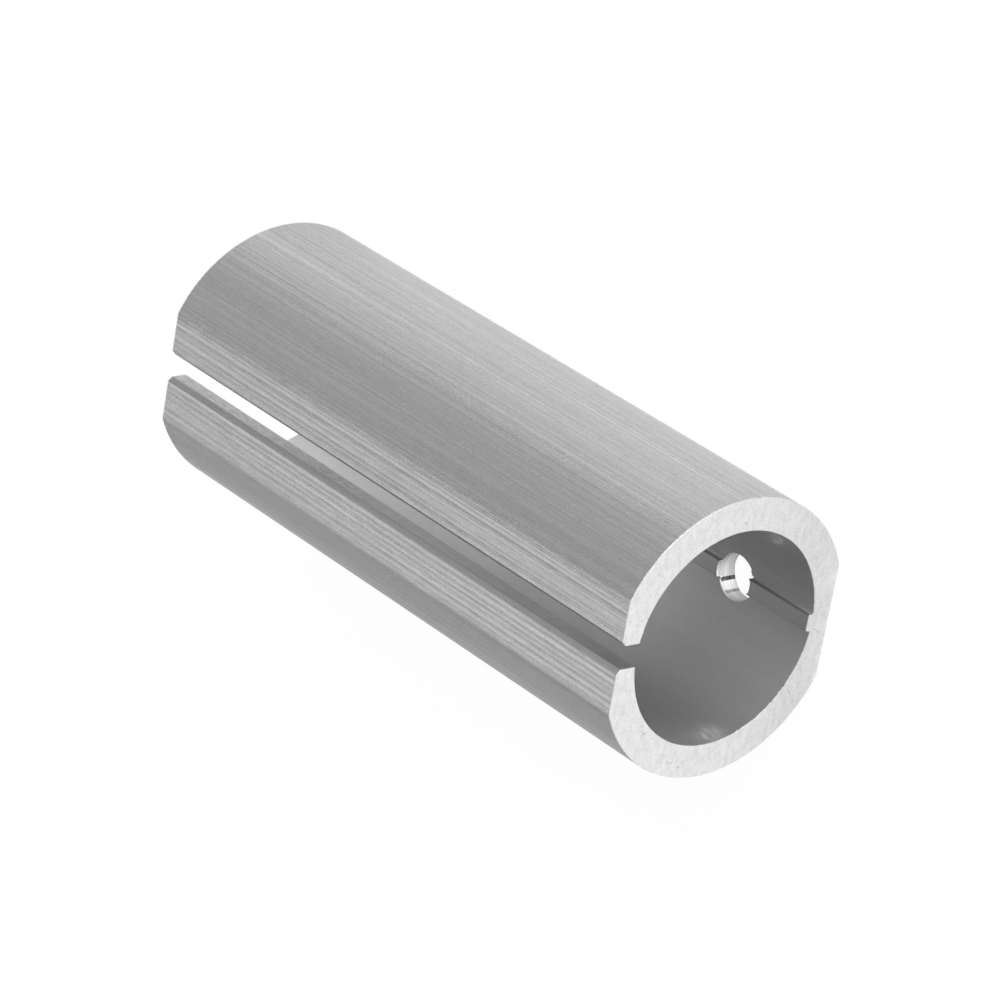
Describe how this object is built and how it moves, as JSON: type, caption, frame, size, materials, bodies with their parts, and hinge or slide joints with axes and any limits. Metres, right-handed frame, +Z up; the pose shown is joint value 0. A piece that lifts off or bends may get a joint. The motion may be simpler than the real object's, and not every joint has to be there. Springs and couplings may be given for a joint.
{
  "type": "clamp sleeve",
  "caption": "Slotted aluminium clamp sleeve: a thick extruded tube with outer flats, a slot along its whole length, a key rib in the bore and a drilled cross hole.",
  "frame": {"origin": "middle of the lower flat, half way along the sleeve, which rests on that flat", "axes": "+X along the bore towards the end with the cross hole, +Z up from the lower flat through the slot, +Y across the flats' width"},
  "size_m": [0.1, 0.0398, 0.0364],
  "materials": {
    "aluminium": "mill finish with fine lengthwise die lines, sawn ends, smooth bore"
  },
  "bodies": {
    "root": {"sleeve": "aluminium"}
  },
  "joints": []
}
